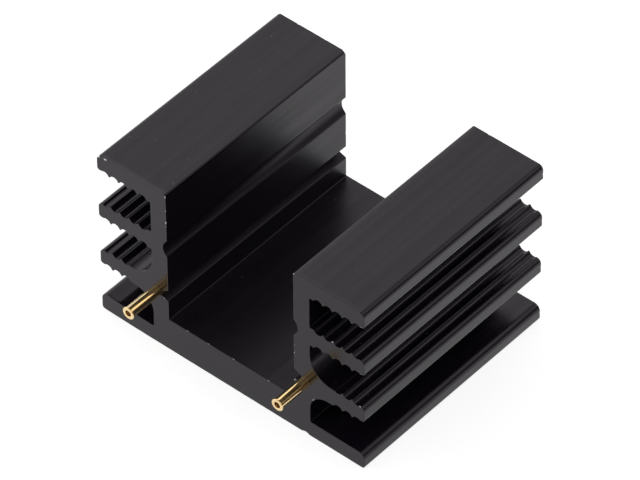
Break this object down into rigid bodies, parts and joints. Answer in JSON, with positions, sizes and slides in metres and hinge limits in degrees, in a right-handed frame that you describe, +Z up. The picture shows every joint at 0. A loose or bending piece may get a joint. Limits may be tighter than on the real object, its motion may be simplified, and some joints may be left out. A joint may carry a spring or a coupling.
{
  "type": "transistor heat sink",
  "caption": "U-shaped black anodised aluminium heat sink with side fins and hollow solder pins, for a power transistor that stands on a circuit board",
  "frame": {"origin": "middle of the flat underside, halfway along the extrusion", "axes": "+Z up from the underside, +Y along the extrusion away from the solder pins, +X across the fins"},
  "size_m": [0.045, 0.041, 0.0278],
  "materials": {
    "black_anodised": "satin black anodised",
    "plated_pin": "bright gold plated"
  },
  "bodies": {
    "root": {"extruded_body": "black_anodised", "solder_pin_left": "plated_pin", "solder_pin_right": "plated_pin"}
  },
  "joints": []
}
